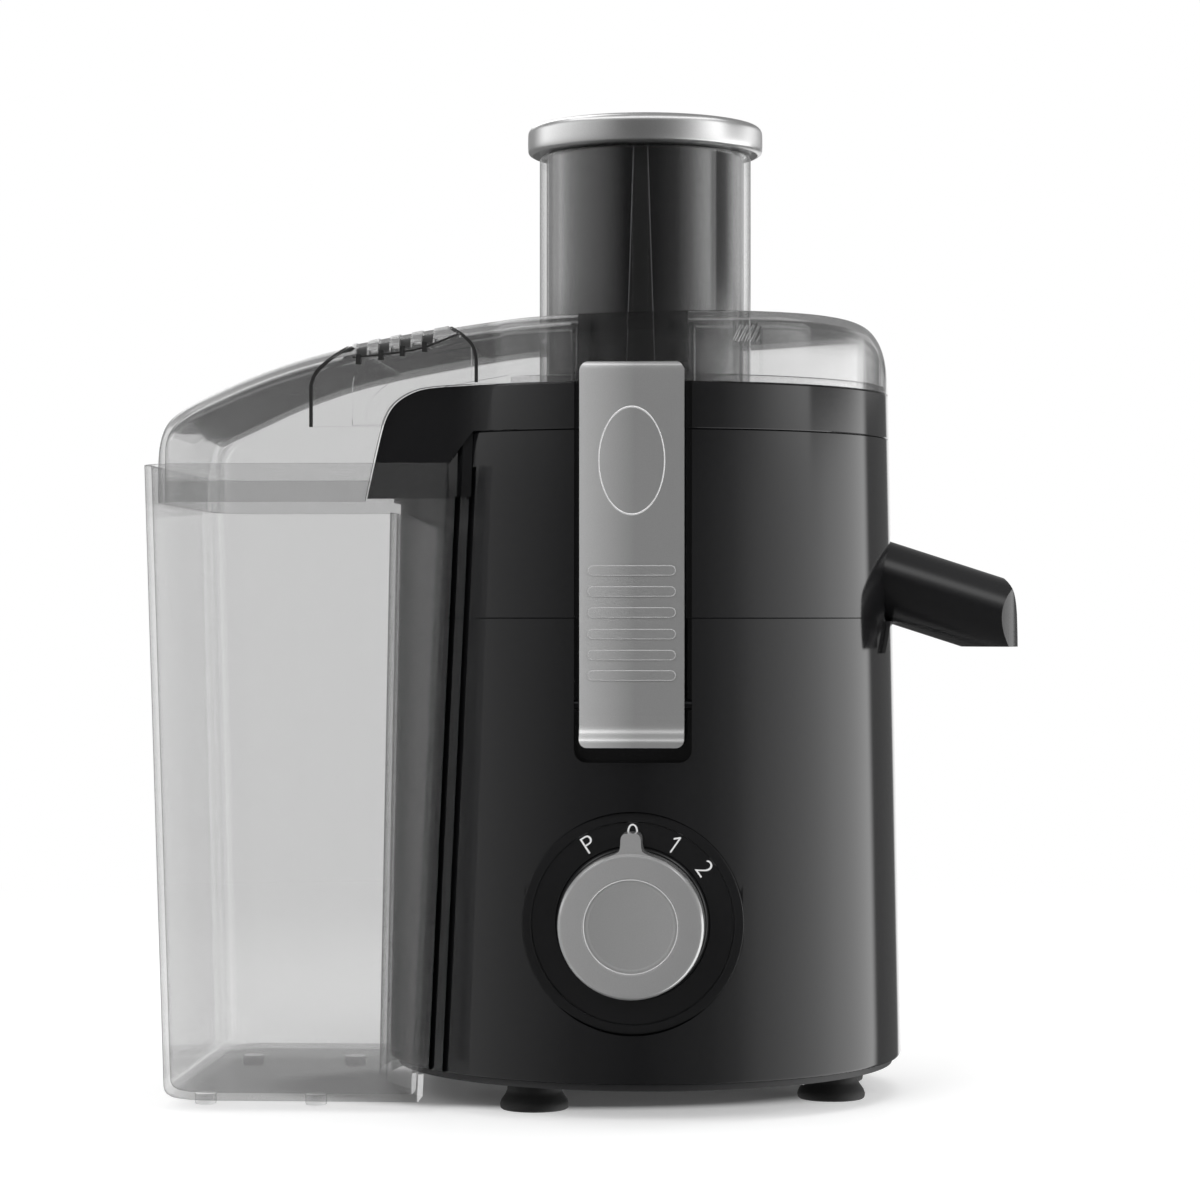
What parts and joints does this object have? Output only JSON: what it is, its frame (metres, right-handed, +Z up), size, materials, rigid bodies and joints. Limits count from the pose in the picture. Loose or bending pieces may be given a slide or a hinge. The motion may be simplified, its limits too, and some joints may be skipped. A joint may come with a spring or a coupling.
{
  "type": "centrifugal juicer",
  "caption": "Round black juicer with smoky cover and clear feed tube, silver-capped pusher, side pulp bin, pouring spout, snap latches and a speed dial.",
  "frame": {"origin": "on the table, under the middle of the whole outline", "axes": "+Z up, +X towards the spout, -Y towards the side with the speed dial"},
  "size_m": [0.2822, 0.1854, 0.325],
  "materials": {
    "gloss_black": "deep gloss black moulded plastic",
    "satin_black": "satin black moulded plastic",
    "dark_plate": "plain dark plastic",
    "smoke_clear": "smoky clear plastic, polished",
    "frosted_grey": "light grey translucent plastic",
    "satin_silver": "satin silver painted plastic with bright edges",
    "rubber_black": "matte black rubber",
    "seal_grey": "soft grey silicone",
    "steel": "brushed stainless steel",
    "lamination": "stacked steel sheet",
    "alloy": "cast and pressed alloy",
    "copper": "enamelled copper wire and bars",
    "brass_blade": "bare brass",
    "carbon": "pressed carbon",
    "white_nylon": "white nylon",
    "board_green": "green circuit board",
    "component_blue": "coated electronic parts",
    "lead_red": "insulated wire"
  },
  "bodies": {
    "base": {"base_housing": "gloss_black", "upper_housing": "gloss_black", "bottom_plate": "dark_plate", "suction_feet": "rubber_black", "bottom_screws": "steel", "deck_screws": "steel", "cord_gland": "rubber_black", "dial_bezel": "satin_black", "rotary_switch": "dark_plate", "switch_terminals": "brass_blade", "control_board": "board_green", "board_capacitors": "component_blue", "internal_leads": "lead_red", "interlock_switch": "dark_plate", "stator_core": "lamination", "field_windings": "copper", "upper_bracket": "alloy", "lower_bracket": "alloy", "motor_bolts": "steel", "motor_mounts": "rubber_black", "mount_screws": "steel", "upper_bearing": "steel", "lower_bearing": "steel", "brush_holders": "dark_plate", "carbon_brushes": "carbon", "shaft_seal": "seal_grey", "juice_collector": "gloss_black", "cover": "smoke_clear", "feed_tube": "smoke_clear", "cover_gasket": "seal_grey", "latch_pins": "steel"},
    "drive": {"motor_shaft": "steel", "armature_core": "lamination", "armature_windings": "copper", "commutator": "copper", "cooling_fan": "dark_plate", "drive_coupling": "white_nylon", "basket_hub": "white_nylon", "grater_disc": "steel", "grater_rivets": "steel", "strainer_cone": "steel", "basket_rim": "white_nylon"},
    "pusher": {"pusher": "gloss_black", "pusher_cap": "satin_silver"},
    "knob": {"knob": "satin_silver", "knob_insert": "satin_silver", "knob_spindle": "steel"},
    "front_latch": {"front_latch": "satin_silver"},
    "rear_latch": {"rear_latch": "satin_silver"},
    "spout": {"juice_spout": "satin_black"},
    "bin": {"pulp_bin": "frosted_grey"},
    "interlock_plunger": {"interlock_plunger": "white_nylon"}
  },
  "joints": [
    {"name": "drive_spin", "type": "hinge", "parent": "base", "child": "drive", "pos_m": [0.0171, 0.00225, 0.1], "axis": [0, 0, 1], "continuous": true},
    {"name": "pusher_lift", "type": "slide", "parent": "base", "child": "pusher", "axis": [0, 0, 1], "range_m": [0, 0.09]},
    {"name": "knob_turn", "type": "hinge", "parent": "base", "child": "knob", "pos_m": [0.0171, -0.07975, 0.062], "axis": [0, 1, 0], "range_deg": [-30, 54]},
    {"name": "front_latch_swing", "type": "hinge", "parent": "base", "child": "front_latch", "pos_m": [0.0171, -0.07575, 0.13], "axis": [1, 0, 0], "range_deg": [0, 25]},
    {"name": "rear_latch_swing", "type": "hinge", "parent": "base", "child": "rear_latch", "pos_m": [0.0171, 0.08025, 0.13], "axis": [-1, 0, 0], "range_deg": [0, 25]},
    {"name": "spout_pull", "type": "slide", "parent": "base", "child": "spout", "axis": [1, 0, 0], "range_m": [0, 0.02]},
    {"name": "bin_tilt", "type": "hinge", "parent": "base", "child": "bin", "pos_m": [-0.1264, 0.00225, 0], "axis": [0, -1, 0], "range_deg": [0, 5.5]},
    {"name": "interlock_press", "type": "slide", "parent": "base", "child": "interlock_plunger", "axis": [0, 1, 0], "range_m": [0, 0.0051]}
  ],
  "couplings": [
    {"joint": "interlock_press", "follows": "front_latch_swing", "m_per_rad": 0.0116}
  ]
}
